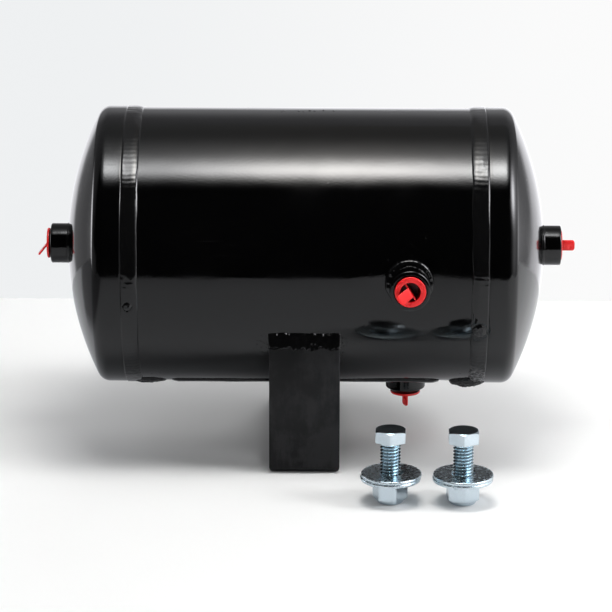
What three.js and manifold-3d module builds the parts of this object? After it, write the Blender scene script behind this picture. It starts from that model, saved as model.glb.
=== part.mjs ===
// A small compressed-air receiver: a rolled shell between two dished heads, standing on one U-shaped foot
// bracket, with four weld-in pipe ports closed by pull-tab plugs, and the two bolt sets that fasten the foot.
// Units are millimetres. The origin is the centre of the foot's underside, +X runs along the tank, +Z is up,
// and the front port faces -Y.
import * as THREE from "three";
import { mergeVertices } from "three/addons/utils/BufferGeometryUtils.js";
import Module from "manifold-3d";

const INCH = 25.4;
const GAP = 0.3; // clearance between pieces that touch
const DEG = Math.PI / 180;

// Vessel
const SHELL_R = 3 * INCH;
const WALL = 2.3;
const AXIS_Z = 112.4; // height of the tank's axis above the foot's underside
const SHELL_HALF = 93; // half the shell's length
const VESSEL_SIDES = 48;

// Dished heads: a crown, a tight knuckle, a straight skirt and a joggled lip that slides into the shell
const HEAD_R = 76.9;
const HEAD_APEX = 132.45; // distance from the tank's middle to the top of the crown
const CROWN_R = 161;
const KNUCKLE_R = 7;
const SKIRT_END = 99.2;
const LIP_START = 96.7;
const LIP_END = 85;

// Welds
const GIRTH = { inner: 90, outer: 98.2, crest: 1.0 };
const SEAM = { fromBottom: 22, width: 8, height: 1.3, half: 74.5 };
const LUMP = { x: 87, halfLength: 10.6, halfWidth: 6, heightLeft: 2.3, heightRight: 3.4 };

// Ports. The side ports are set by their angle round the tank, in degrees from +Y towards +Z.
const BUNG_R = (7 / 16) * INCH;
const BUNG_BORE_R = 6.6;
const MOUTH = { r: 8.75, depth: 1.2 };
const PILOT_R = 8.5;
const PORT_HOLE_R = PILOT_R + GAP;
const PILOT_DEPTH = 3.4;
const SIDE_PORT_X = 56.5;
const FRONT_CLOCK = 180.7;
const DRAIN_CLOCK = 270;
const PORT_SIDES = 20;

// Pull-tab plugs
const PLUG = {
  flangeR: 8.4, flangeT: 1.5, bodyR: 6.15, tipR: 5.6, depth: 8.2, cavityR: 5.4, floor: 1,
  web: 1.2, webDrop: 0.8, tabW: 6, tabT: 1.1,
};

// Foot bracket
const FOOT = { width: 38.6, halfSpan: 67.3, thick: 4.8, bend: 6, top: 75, holeR: 6, holeY: 38.1 };
const FOOT_WELD = { topAngle: 23.5, toeDrop: 38.3, bulge: 1.2, over: 0.4 };

// 7/16-14 bolt sets: bolt, two washers and a nylon-insert lock nut, standing on the nut
const BOLT = { r: 5.5, flats: 15.875, headH: 7, length: 34 };
const NUT = {
  flats: 16.4, height: 12.7, collarH: 2.8, collarR: 7.1, boreR: 5.9, seatR: 6.6, seatLow: 0.8, seatHigh: 3.4,
};
const WASHER = { r: 16.2, holeR: 6.35, thick: 1.85 };
const STACK_GAP = 0.05; // rest gap between stacked loose pieces, under the flat faces

const wasm = await Module();
wasm.setup();

const finishes = {
  gloss: new THREE.MeshStandardMaterial({ color: 0x0a0a0b, roughness: 0.12, metalness: 0 }),
  foot: new THREE.MeshStandardMaterial({ color: 0x121213, roughness: 0.5, metalness: 0 }),
  red: new THREE.MeshStandardMaterial({ color: 0xd8141c, roughness: 0.4, metalness: 0 }),
  zinc: new THREE.MeshStandardMaterial({ color: 0xb9c4cb, roughness: 0.28, metalness: 1 }),
  nylon: new THREE.MeshStandardMaterial({ color: 0xcfe3ea, roughness: 0.5, metalness: 0 }),
};

// ---- Solids -------------------------------------------------------------------------------------

function solid(geometry) {
  const bare = new THREE.BufferGeometry()
    .setAttribute("position", geometry.getAttribute("position").clone());
  if (geometry.index) bare.setIndex(geometry.index);
  const merged = mergeVertices(bare, 1e-4);
  return new wasm.Manifold(
    new wasm.Mesh({
      numProp: 3,
      vertProperties: merged.attributes.position.array,
      triVerts: new Uint32Array(merged.index.array),
    }),
  );
}

function geometryOf(manifold) {
  const mesh = manifold.getMesh();
  const geometry = new THREE.BufferGeometry()
    .setAttribute("position", new THREE.BufferAttribute(Float32Array.from(mesh.vertProperties), 3))
    .setIndex(new THREE.BufferAttribute(Uint32Array.from(mesh.triVerts), 1));
  const flat = geometry.toNonIndexed();
  flat.computeVertexNormals();
  return flat;
}

const cut = (geometry, ...tools) =>
  geometryOf(tools.reduce((left, tool) => left.subtract(solid(tool)), solid(geometry)));
const join = (...pieces) => geometryOf(pieces.map(solid).reduce((a, b) => a.add(b)));

// A closed [radius, height] profile turned about +Y. The profile is put in the order that faces it outwards.
function revolve(profile, sides) {
  const area = profile.reduce((sum, [r, y], i) => {
    const [r2, y2] = profile[(i + 1) % profile.length];
    return sum + r * y2 - r2 * y;
  }, 0);
  const ordered = area > 0 ? [...profile] : [...profile].reverse();
  const loop = [...ordered, ordered[0]].map(([r, y]) => new THREE.Vector2(r, y));
  return new THREE.LatheGeometry(loop, sides);
}

const rod = (r, low, high, sides) =>
  new THREE.CylinderGeometry(r, r, high - low, sides).translate(0, (high + low) / 2, 0);

// A closed outline of [y, z] points, extruded along X and centred on it.
function barAlongX(outline, length) {
  const shape = new THREE.Shape(outline.map(([y, z]) => new THREE.Vector2(y, z)));
  return new THREE.ExtrudeGeometry(shape, { depth: length, bevelEnabled: false })
    .translate(0, 0, -length / 2)
    .applyMatrix4(new THREE.Matrix4().makeBasis(
      new THREE.Vector3(0, 1, 0), new THREE.Vector3(0, 0, 1), new THREE.Vector3(1, 0, 0)));
}

// Points on a circle about [cx, cy], from one angle to another, in degrees.
const arc = (cx, cy, r, from, to, steps) =>
  Array.from({ length: steps + 1 }, (_, i) => {
    const a = (from + ((to - from) * i) / steps) * DEG;
    return [cx + r * Math.cos(a), cy + r * Math.sin(a)];
  });

// A cylinder on the tank's axis, in the part's frame, with its corners in line with the shell's.
const tankCylinder = (r, half) =>
  rod(r, -half, half, VESSEL_SIDES).rotateZ(-Math.PI / 2).translate(0, 0, AXIS_Z);

const root = new THREE.Group();

function add(group, name, geometry, finish) {
  const mesh = new THREE.Mesh(geometry, finishes[finish]);
  mesh.name = name;
  group.add(mesh);
  return mesh;
}

// A tool given in the part's frame, moved into a placed group's own frame.
function inFrameOf(group, tool) {
  group.updateMatrixWorld(true);
  return tool.clone().applyMatrix4(group.matrixWorld.clone().invert());
}

// ---- Vessel -------------------------------------------------------------------------------------

function shell() {
  const tube = revolve(
    [[SHELL_R, -SHELL_HALF], [SHELL_R, SHELL_HALF],
      [SHELL_R - WALL, SHELL_HALF], [SHELL_R - WALL, -SHELL_HALF]],
    VESSEL_SIDES,
  ).rotateZ(-Math.PI / 2);
  const holes = [FRONT_CLOCK, DRAIN_CLOCK].map((clock) =>
    rod(PORT_HOLE_R, SHELL_R / 2, SHELL_R + 5, PORT_SIDES)
      .rotateX(clock * DEG)
      .translate(SIDE_PORT_X, 0, 0));
  add(root, "shell", cut(tube, ...holes), "gloss").position.z = AXIS_Z;
}

// The line from skirt to crown of a head whose skirt, crown and knuckle radii are all offset inwards by
// inset, as [radius, height] points.
function headCurve(inset, steps) {
  const crown = CROWN_R - inset;
  const knuckle = KNUCKLE_R - inset;
  const skirt = HEAD_R - inset;
  const crownY = HEAD_APEX - CROWN_R;
  const knuckleR = skirt - knuckle;
  const knuckleY = crownY + Math.sqrt((crown - knuckle) ** 2 - knuckleR ** 2);
  const meet = Math.atan2(knuckleY - crownY, knuckleR) / DEG;
  const hole = Math.acos(PORT_HOLE_R / crown) / DEG;
  return [
    ...arc(knuckleR, knuckleY, knuckle, 0, meet, steps.knuckle),
    ...arc(0, crownY, crown, meet, hole, steps.crown).slice(1),
  ];
}

function head(name, side) {
  const lipR = SHELL_R - WALL - GAP;
  const profile = [
    [lipR - WALL, LIP_END], [lipR, LIP_END], [lipR, LIP_START],
    [HEAD_R - 1.2, SKIRT_END - 0.8], [HEAD_R, SKIRT_END + 0.6],
    ...headCurve(0, { knuckle: 3, crown: 4 }),
    ...headCurve(WALL, { knuckle: 2, crown: 3 }).reverse(),
    [HEAD_R - WALL, SKIRT_END + 1.4], [lipR - WALL, LIP_START + 0.8],
  ];
  const mesh = add(root, name, revolve(profile, VESSEL_SIDES), "gloss");
  mesh.rotation.z = (-side * Math.PI) / 2;
  mesh.position.z = AXIS_Z;
}

// The bead fills the joint between the shell's end and the head's skirt, and laps onto the shell. It
// carries a lump where the lengthwise seam runs into it.
function girthWeld(name, side) {
  const floor = SHELL_R - WALL;
  const seat = SHELL_R + GAP;
  const mid = (GIRTH.inner + GIRTH.outer) / 2;
  const profile = [
    [floor, SHELL_HALF + GAP], [seat, SHELL_HALF + GAP], [seat, GIRTH.inner],
    [SHELL_R + GIRTH.crest, mid - 1.6], [SHELL_R + GIRTH.crest, mid + 1],
    [SHELL_R - 1, GIRTH.outer - 0.4], [floor, LIP_START - GAP],
  ];
  const ring = revolve(profile, VESSEL_SIDES).rotateZ((-side * Math.PI) / 2).translate(0, 0, AXIS_Z);
  const blob = new THREE.SphereGeometry(1, 12, 8)
    .scale(LUMP.halfLength, LUMP.halfWidth, side > 0 ? LUMP.heightRight : LUMP.heightLeft)
    .translate(0, 0, -SHELL_R)
    .rotateX(-SEAM.fromBottom * DEG)
    .translate(side * LUMP.x, 0, AXIS_Z);
  add(root, name, join(ring, cut(blob, tankCylinder(seat, HEAD_APEX))), "gloss");
}

// The shell's own lengthwise seam, a raised bead low on the front.
function seamWeld() {
  const r = SHELL_R + GAP;
  const half = SEAM.width / 2 / r / DEG;
  const centre = -90 - SEAM.fromBottom;
  const crest = SHELL_R + SEAM.height;
  const point = (radius, angle) => [radius * Math.cos(angle * DEG), radius * Math.sin(angle * DEG)];
  const outline = [
    ...arc(0, 0, r, centre - half, centre + half, 4),
    point(crest - 0.4, centre + half * 0.55),
    point(crest, centre),
    point(crest - 0.4, centre - half * 0.55),
  ];
  add(root, "seam_weld", barAlongX(outline, 2 * SEAM.half).translate(0, 0, AXIS_Z), "gloss");
}

// ---- Ports --------------------------------------------------------------------------------------

// A port's group has its origin on the vessel's outer surface and +Y pointing out of the port.
function portGroup(position, rotation) {
  const group = new THREE.Group();
  group.position.set(...position);
  group.rotation.set(...rotation);
  root.add(group);
  return group;
}

// The weld-in boss: a thick ring with a pilot that reaches through the wall.
function bung(group, name, height, saddle) {
  const chamfer = 0.8;
  const base = saddle ? -3 : GAP;
  const foot = saddle ? 0 : 2.2; // a boss on a crown has its foot chamfered for the weld
  const boss = revolve(
    [[0, base], [BUNG_R - foot, base], [BUNG_R, base + foot], [BUNG_R, height - chamfer],
      [BUNG_R - chamfer, height], [0, height]],
    PORT_SIDES,
  );
  const seated = saddle ? cut(boss, inFrameOf(group, tankCylinder(SHELL_R + GAP, SHELL_HALF))) : boss;
  const solidBoss = join(seated, rod(PILOT_R, -PILOT_DEPTH, height / 2, PORT_SIDES));
  const bore = rod(BUNG_BORE_R, -PILOT_DEPTH - 5, height + 5, PORT_SIDES);
  const mouth = rod(MOUTH.r, height - MOUTH.depth, height + 5, PORT_SIDES);
  add(group, name, cut(solidBoss, bore, mouth), "gloss");
}

// The ring of weld round a boss: flush with its chamfered foot on a crown, a wide fillet on the shell.
function bungWeld(group, name, saddle) {
  if (!saddle) {
    const ring = [
      [BUNG_R - 1.6, GAP + 0.05], [BUNG_R + 0.5, GAP + 0.05], [BUNG_R + 0.3, 1.9], [BUNG_R, 2.05],
    ];
    add(group, name, revolve(ring, PORT_SIDES), "gloss");
    return;
  }
  const inner = BUNG_R + GAP;
  const fillet = revolve(
    [[inner, -3], [inner + 1.9, -3], [inner + 1.9, 0.1],
      [inner + 1.2, 1.4], [inner + 0.3, 2.5], [inner, 2.5]],
    PORT_SIDES,
  );
  add(group, name, cut(fillet, inFrameOf(group, tankCylinder(SHELL_R + GAP, SHELL_HALF))), "gloss");
}

// A moulded plug pressed into the bore: a flanged cup with a web across it and a strap standing on the web.
// proud is how far the flange stands off the boss, turn sets the web round the axis, lean bends the
// strap, and tab is the strap's length.
function plug(group, name, face, { proud, turn, lean, tab }) {
  const p = PLUG;
  const cup = revolve(
    [[0, -p.depth], [p.tipR, -p.depth], [p.bodyR, 0], [p.flangeR, 0], [p.flangeR, p.flangeT - 0.4],
      [p.flangeR - 0.4, p.flangeT], [p.cavityR, p.flangeT], [p.cavityR - 0.5, p.floor - p.depth],
      [0, p.floor - p.depth]],
    PORT_SIDES,
  );
  const webTop = p.flangeT - p.webDrop;
  const web = new THREE.BoxGeometry(2 * p.cavityR + 0.4, webTop + p.depth - 0.5, p.web)
    .translate(0, (webTop - p.depth + 0.5) / 2, 0);
  const strap = new THREE.BoxGeometry(p.tabW, tab + 0.5, p.tabT)
    .translate(0, (tab - 0.5) / 2, 0)
    .rotateX(lean * DEG)
    .translate(0, webTop, 0);
  const whole = join(cup, web, strap).rotateY(turn * DEG);
  add(group, name, whole, "red").position.y = face + proud;
}

function port({ side, position, rotation, height, saddle, plugged }) {
  const group = portGroup(position, rotation);
  bung(group, `port_bung_${side}`, height, saddle);
  bungWeld(group, `bung_weld_${side}`, saddle);
  plug(group, `plug_${side}`, height, plugged);
}

// A port in the middle of a head (end is -1 or 1) or on the shell at an angle round the tank.
const onHead = (end) => ({
  position: [end * HEAD_APEX, 0, AXIS_Z],
  rotation: [0, 0, (-end * Math.PI) / 2],
  saddle: false,
});
const onShell = (clock) => ({
  position: [SIDE_PORT_X, SHELL_R * Math.cos(clock * DEG), AXIS_Z + SHELL_R * Math.sin(clock * DEG)],
  rotation: [clock * DEG, 0, 0],
  saddle: true,
});

const seated = GAP - MOUTH.depth; // a plug pushed right down into the mouth of its port
const ports = [
  { side: "left", ...onHead(-1), height: 9.85, plugged: { proud: 0.7, turn: 0, lean: -52, tab: 9.4 } },
  { side: "right", ...onHead(1), height: 9.85, plugged: { proud: seated, turn: 90, lean: 0, tab: 8.1 } },
  {
    side: "front", ...onShell(FRONT_CLOCK), height: 13.7,
    plugged: { proud: 0.5, turn: -58, lean: 58, tab: 9 },
  },
  { side: "drain", ...onShell(DRAIN_CLOCK), height: 7, plugged: { proud: 2, turn: 66, lean: 0, tab: 8.6 } },
];

// ---- Foot ---------------------------------------------------------------------------------------

// A strap bent into a U, coped to the shell, with two bolt holes in its base.
function footBracket() {
  const { width, halfSpan: out, thick, bend, top, holeR, holeY } = FOOT;
  const inner = out - thick;
  const innerBend = bend - thick;
  const outline = [
    [-out, top], ...arc(-out + bend, bend, bend, 180, 270, 5),
    ...arc(out - bend, bend, bend, 270, 360, 5), [out, top],
    [inner, top], ...arc(inner - innerBend, thick + innerBend, innerBend, 0, -90, 4),
    ...arc(-inner + innerBend, thick + innerBend, innerBend, -90, -180, 4), [-inner, top],
  ];
  const holes = [-holeY, holeY].map((y) =>
    rod(holeR, -5, thick + 5, PORT_SIDES).rotateX(Math.PI / 2).translate(0, y, 0));
  const strap = cut(barAlongX(outline, width), tankCylinder(SHELL_R + GAP, width), ...holes);
  add(root, "foot_bracket", strap, "foot");
}

// The fillet in the corner between the shell and the outside of one leg. side is -1 at the front and 1 at the
// rear.
function footWeld(name, side) {
  const r = SHELL_R + GAP;
  const face = FOOT.halfSpan + GAP;
  const low = Math.asin(Math.sqrt(r * r - face * face) / r) / DEG;
  const arcPoints = arc(0, AXIS_Z, r, -low, -FOOT_WELD.topAngle, 3);
  const [topY, topZ] = arcPoints[arcPoints.length - 1];
  const toe = AXIS_Z - FOOT_WELD.toeDrop;
  const middle = [(topY + face) / 2 + FOOT_WELD.bulge, (topZ + toe) / 2];
  const outline = [[face, toe], ...arcPoints, middle].map(([y, z]) => [side * y, z]);
  add(root, name, barAlongX(outline, FOOT.width + 2 * FOOT_WELD.over), "gloss");
}

// ---- Bolt sets ----------------------------------------------------------------------------------

const hexPrism = (flats, low, high) => {
  const corner = flats / Math.sqrt(3);
  return rod(corner, low, high, 6).rotateX(Math.PI / 2);
};
const upright = (geometry) => geometry.rotateX(Math.PI / 2);

function bolt(group, name, turn) {
  const headLow = BOLT.length;
  const shank = upright(rod(BOLT.r, STACK_GAP, headLow + 1, PORT_SIDES));
  const whole = join(shank, hexPrism(BOLT.flats, headLow, headLow + BOLT.headH));
  add(group, name, whole, "zinc").rotation.z = turn * DEG;
}

function lockNut(group, suffix, turn) {
  const { flats, height, collarH, collarR, boreR, seatR, seatLow, seatHigh } = NUT;
  const blank = join(hexPrism(flats, collarH, height), upright(rod(collarR, 0, collarH + 1, PORT_SIDES)));
  const bore = upright(rod(boreR, -1, height + 1, PORT_SIDES));
  const seat = upright(rod(seatR, seatLow, seatHigh, PORT_SIDES));
  add(group, `lock_nut_${suffix}`, cut(blank, bore, seat), "zinc").rotation.z = turn * DEG;
  const ring = upright(revolve(
    [[boreR - 0.05, seatLow + GAP], [seatR - GAP, seatLow + GAP], [seatR - GAP, seatHigh - GAP],
      [boreR - 0.05, seatHigh - GAP]],
    PORT_SIDES,
  ));
  add(group, `nylon_insert_${suffix}`, ring, "nylon");
}

function washer(group, name, low, offset) {
  const { r, holeR, thick } = WASHER;
  const ring = upright(revolve(
    [[holeR, low], [r, low], [r, low + thick], [holeR, low + thick]],
    PORT_SIDES,
  ));
  add(group, name, ring, "zinc").position.x = offset;
}

function boltSet({ suffix, x, y, boltTurn, nutTurn, lowerOffset, upperOffset }) {
  const group = new THREE.Group();
  group.position.set(x, y, 0);
  root.add(group);
  lockNut(group, suffix, nutTurn);
  const lower = NUT.height + STACK_GAP;
  washer(group, `washer_lower_${suffix}`, lower, lowerOffset);
  washer(group, `washer_upper_${suffix}`, lower + WASHER.thick + STACK_GAP, upperOffset);
  bolt(group, `bolt_${suffix}`, boltTurn);
}

const boltSets = [
  { suffix: "a", x: 46.4, y: -110.2, boltTurn: -2.5, nutTurn: 19.5, lowerOffset: 0.2, upperOffset: 0.6 },
  { suffix: "b", x: 85.3, y: -111.2, boltTurn: 0, nutTurn: 6, lowerOffset: -0.1, upperOffset: 0.2 },
];

shell();
head("head_left", -1);
head("head_right", 1);
girthWeld("girth_weld_left", -1);
girthWeld("girth_weld_right", 1);
seamWeld();
ports.forEach(port);
footBracket();
footWeld("bracket_weld_front", -1);
footWeld("bracket_weld_rear", 1);
boltSets.forEach(boltSet);

export default root;
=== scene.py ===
import math

import bmesh
import bpy
import numpy as np
from mathutils import Matrix, Vector, noise


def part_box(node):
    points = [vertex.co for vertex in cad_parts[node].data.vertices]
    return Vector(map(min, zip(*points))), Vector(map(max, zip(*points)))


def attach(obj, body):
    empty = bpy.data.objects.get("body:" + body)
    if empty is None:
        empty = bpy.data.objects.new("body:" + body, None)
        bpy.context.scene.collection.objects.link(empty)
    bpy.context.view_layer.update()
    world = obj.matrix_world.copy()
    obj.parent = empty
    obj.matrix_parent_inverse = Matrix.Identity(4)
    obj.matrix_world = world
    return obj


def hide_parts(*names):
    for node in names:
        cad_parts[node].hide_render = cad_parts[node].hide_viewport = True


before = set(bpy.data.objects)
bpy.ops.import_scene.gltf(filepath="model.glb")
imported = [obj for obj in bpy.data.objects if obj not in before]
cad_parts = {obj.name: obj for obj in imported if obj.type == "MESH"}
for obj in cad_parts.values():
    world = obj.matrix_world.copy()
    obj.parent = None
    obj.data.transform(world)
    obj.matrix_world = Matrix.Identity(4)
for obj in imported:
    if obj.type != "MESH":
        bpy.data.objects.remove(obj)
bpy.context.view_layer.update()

MM = 0.001
TAU = 2 * math.pi
rad = math.radians

# ---- Measures --------------------------------------------
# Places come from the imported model. The shapes between them repeat the part's own dimensions, in metres.

def middle(node):
    lo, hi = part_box(node)
    return (Vector(lo) + Vector(hi)) / 2


def extent(node):
    lo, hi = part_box(node)
    return Vector(hi) - Vector(lo)


# shell: its axis, outside radius, half length and wall
AXIS_Z = middle("shell").z
SHELL_R = extent("shell").z / 2
SHELL_HALF = extent("shell").x / 2
WALL = 2.3 * MM

# heads: where the lip ends and starts, where the skirt ends, the crown, the knuckle and the port hole
HEAD_R = extent("head_right").z / 2
LIP_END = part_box("head_right")[0][0]
LIP_START, SKIRT_END = 96.7 * MM, 99.2 * MM
CROWN_R, KNUCKLE_R, HEAD_HOLE_R = 161 * MM, 7 * MM, 8.8 * MM
# a head's box ends at the rim of its port hole, a little short of where the crown would peak
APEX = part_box("head_right")[1][0] + CROWN_R - math.sqrt(CROWN_R ** 2 - HEAD_HOLE_R ** 2)

# welds: how deep their edges sit in the shell, the girth beads' span and height, and the seam weld,
# which runs a little in front of straight down
SUNK = 0.15 * MM
BEAD_INNER, BEAD_OUTER, BEAD_CREST = 90 * MM, 99.9 * MM, 1.0 * MM
SEAM_ANGLE = rad(-90 - 22)
SEAM_WIDTH, SEAM_CREST = 8 * MM, 1.5 * MM
# the foot's weld meets the shell this far round below level, and its lower edge hangs this far below the axis
FOOT_WELD_ANGLE, FOOT_WELD_DROP = rad(23.8), 39.5 * MM

# ports: the bung's outside, bore, mouth and pilot, its thread, and where the two side ports are
BUNG_R = extent("port_bung_left").z / 2
BORE_R, MOUTH_R, MOUTH_DEPTH, PILOT_R, PILOT_DEPTH = 6.6 * MM, 8.75 * MM, 1.2 * MM, 8.5 * MM, 3.4 * MM
PILOT_HOLE_R = PILOT_R + 0.2 * MM
PIPE_PITCH, PIPE_DEPTH = 1.411 * MM, 0.55 * MM
SIDE_X = middle("port_bung_front").x
FRONT_CLOCK, DRAIN_CLOCK = 180.7, 270.0
FRONT_PROUD = 13.7 * MM
# welding has pulled the shell in round each side port
DRAWN_DEPTH, DRAWN_WIDTH, DRAWN_REACH = 2.1 * MM, 18 * MM, 60 * MM

# foot: the strap's thickness and bend, and its bolt holes
STRAP, BEND_R = 4.8 * MM, 6 * MM
FOOT_HOLE_R, FOOT_HOLE_Y = 6 * MM, 38.1 * MM

# bolt sets
BOLT_R, BOLT_PITCH, BOLT_DEPTH = 5.5 * MM, 1.8143 * MM, 1.15 * MM
BOLT_FLATS, HEAD_HEIGHT, HEAD_FACE_R = 15.875 * MM, 7 * MM, 7.6 * MM
NUT_FLATS, NUT_BORE_R, COLLAR, COLLAR_R = 16.4 * MM, 5.9 * MM, 2.1 * MM, 7.1 * MM
WASHER_HOLE_R, WASHER_EDGE = 6.35 * MM, 0.55 * MM


# ---- Mesh building ---------------------------------------

class Build:
    """Collects grids of points into one mesh."""

    def __init__(self):
        self.verts, self.faces, self.count = [], [], 0

    def grid(self, points, wrap_rows=False, wrap_cols=True):
        """points is (rows, columns, 3). Columns run round the form and rows along it."""
        p = np.asarray(points, float)
        n, m = p.shape[:2]
        index = self.count + np.arange(n * m).reshape(n, m)
        rows = np.arange(n if wrap_rows else n - 1)
        cols = np.arange(m if wrap_cols else m - 1)
        r, c = np.meshgrid(rows, cols, indexing="ij")
        r2, c2 = (r + 1) % n, (c + 1) % m
        quads = np.stack([index[r, c], index[r, c2], index[r2, c2], index[r2, c]], -1).reshape(-1, 4)
        self.verts.append(p.reshape(-1, 3))
        self.faces += quads.tolist()
        self.count += n * m
        return self

    def cap(self, ring):
        """Closes a ring of points with a fan to its middle."""
        p = np.asarray(ring, float)
        start, centre = self.count, self.count + len(p)
        self.verts.append(np.vstack([p, p.mean(0)]))
        for i in range(len(p)):
            a, b = start + i, start + (i + 1) % len(p)
            self.faces.append([a, b, centre])
        self.count += len(p) + 1
        return self

    def object(self, name, sharp=35.0):
        mesh = bpy.data.meshes.new(name)
        mesh.from_pydata(np.vstack(self.verts).tolist(), [], self.faces)
        return finish_mesh(name, mesh, sharp)


def smooth(mesh, sharp):
    """Smooths all but the edges sharper than an angle in degrees."""
    mesh.shade_smooth()
    mesh.set_sharp_from_angle(angle=rad(sharp))


def finish_mesh(name, mesh, sharp=35.0):
    """Welds coincident points, faces everything outwards, smooths the mesh and makes it an object."""
    bm = bmesh.new()
    bm.from_mesh(mesh)
    bmesh.ops.remove_doubles(bm, verts=bm.verts, dist=1e-6)
    bmesh.ops.dissolve_degenerate(bm, dist=1e-7, edges=bm.edges)
    bmesh.ops.recalc_face_normals(bm, faces=bm.faces)
    bm.to_mesh(mesh)
    bm.free()
    smooth(mesh, sharp)
    mesh.name = name
    obj = bpy.data.objects.new(name, mesh)
    bpy.context.scene.collection.objects.link(obj)
    return obj


def circle(count):
    return np.linspace(0, TAU, count, endpoint=False)


def lathe(profile, count, axis="Y"):
    """(rows, columns, 3) points of a profile of (radius, height) turned about a local axis."""
    a = circle(count)
    r = np.array([p[0] for p in profile])[:, None]
    h = np.array([p[1] for p in profile])[:, None] * np.ones((1, count))
    c, s = r * np.cos(a), r * np.sin(a)
    return np.stack({"X": (h, c, s), "Y": (s, h, c), "Z": (c, s, h)}[axis], -1)


def arc(cx, cy, r, start, end, steps):
    t = np.linspace(rad(start), rad(end), steps + 1)
    return [(cx + r * math.cos(a), cy + r * math.sin(a)) for a in t]


def along(a, b, steps):
    """Points from a to b, with a but without b."""
    return [(a[0] + (b[0] - a[0]) * i / steps, a[1] + (b[1] - a[1]) * i / steps) for i in range(steps)]


def fractal(x, y, z, octaves=3):
    """Smooth repeatable noise in about -1 to 1, at unit scale."""
    return noise.fractal(Vector((x, y, z)), 0.7, 2.1, octaves)


def ripple(points, scale, seed, octaves=3):
    """Noise at each of an array of points."""
    flat = np.asarray(points).reshape(-1, 3) * scale
    out = np.array([fractal(x + seed, y, z, octaves) for x, y, z in flat])
    return out.reshape(np.asarray(points).shape[:-1])


def cut(obj, cutters):
    """Cuts other objects out of obj, and removes them."""
    for c in cutters:
        m = obj.modifiers.new("cut", "BOOLEAN")
        m.operation, m.solver, m.object = "DIFFERENCE", "EXACT", c
    apply_modifiers(obj, cutters)


def apply_modifiers(obj, spent=()):
    graph = bpy.context.evaluated_depsgraph_get()
    mesh = bpy.data.meshes.new_from_object(obj.evaluated_get(graph))
    obj.modifiers.clear()
    obj.data = mesh
    for s in spent:
        bpy.data.objects.remove(s, do_unlink=True)


def piece(obj, body, slot, material, *nodes):
    """obj rides on a body, takes a finish, and stands for CAD nodes."""
    obj.data.materials.clear()
    obj.data.materials.append(material)
    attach(obj, body)
    if nodes:
        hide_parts(*nodes)


# ---- Materials -------------------------------------------

class Nodes:
    """A short way to write a node tree."""

    def __init__(self, tree):
        self.tree = tree
        tree.nodes.clear()

    def add(self, kind, inputs=None, **props):
        n = self.tree.nodes.new(kind)
        for k, v in props.items():
            setattr(n, k, v)
        for k, v in (inputs or {}).items():
            s = n.inputs[k]
            if isinstance(v, bpy.types.NodeSocket):
                self.tree.links.new(v, s)
            else:
                s.default_value = v
        return n

    def noise(self, at, scale, detail=3.0, rough=0.5):
        inputs = {"Vector": at, "Scale": scale, "Detail": detail, "Roughness": rough}
        return self.add("ShaderNodeTexNoise", inputs).outputs["Fac"]

    def remap(self, value, lo, hi, to_lo=0.0, to_hi=1.0, smooth=True):
        inputs = {"Value": value, "From Min": lo, "From Max": hi, "To Min": to_lo, "To Max": to_hi}
        n = self.add("ShaderNodeMapRange", inputs)
        n.interpolation_type = "SMOOTHSTEP" if smooth else "LINEAR"
        return n.outputs["Result"]

    def math(self, op, a, b=0.0):
        return self.add("ShaderNodeMath", {0: a, 1: b}, operation=op).outputs[0]

    def times(self, a, b):
        return self.math("MULTIPLY", a, b)

    def plus(self, a, b):
        return self.math("ADD", a, b)

    def distance(self, x, y):
        """How far x, y is from the origin."""
        return self.math("SQRT", self.plus(self.times(x, x), self.times(y, y)))

    def output(self, kind, socket):
        self.tree.links.new(socket, self.add(kind).inputs[0])

    def mix(self, factor, a, b):
        n = self.add("ShaderNodeMix", {"Factor": factor}, data_type="RGBA")
        for key, v in ((6, a), (7, b)):
            if isinstance(v, bpy.types.NodeSocket):
                self.tree.links.new(v, n.inputs[key])
            else:
                n.inputs[key].default_value = (*v, 1.0)
        return n.outputs[2]

    def stretched(self, at, rotation, scale):
        """The place at, turned and scaled unevenly, for a texture that runs one way."""
        inputs = {"Vector": at, "Rotation": rotation, "Scale": scale}
        return self.add("ShaderNodeMapping", inputs).outputs[0]

    def bump(self, height, strength, distance, normal=None):
        inputs = {"Height": height, "Strength": strength, "Distance": distance}
        if normal is not None:
            inputs["Normal"] = normal
        return self.add("ShaderNodeBump", inputs).outputs["Normal"]

    def position(self):
        return self.add("ShaderNodeTexCoord").outputs["Object"]

    def specks(self, at, scale, size):
        """1 in small spots about one in each cell, 0 between them."""
        v = self.add("ShaderNodeTexVoronoi", {"Vector": at, "Scale": scale, "Randomness": 1.0}, feature="F1")
        return self.remap(v.outputs["Distance"], size, size * 0.45)


def material(name, **sockets):
    m = bpy.data.materials.new(name)
    m.use_nodes = True
    t = Nodes(m.node_tree)
    shader = t.add("ShaderNodeBsdfPrincipled", sockets)
    t.output("ShaderNodeOutputMaterial", shader.outputs[0])
    return m, t, shader


def link(t, value, shader, socket):
    t.tree.links.new(value, shader.inputs[socket])


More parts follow.
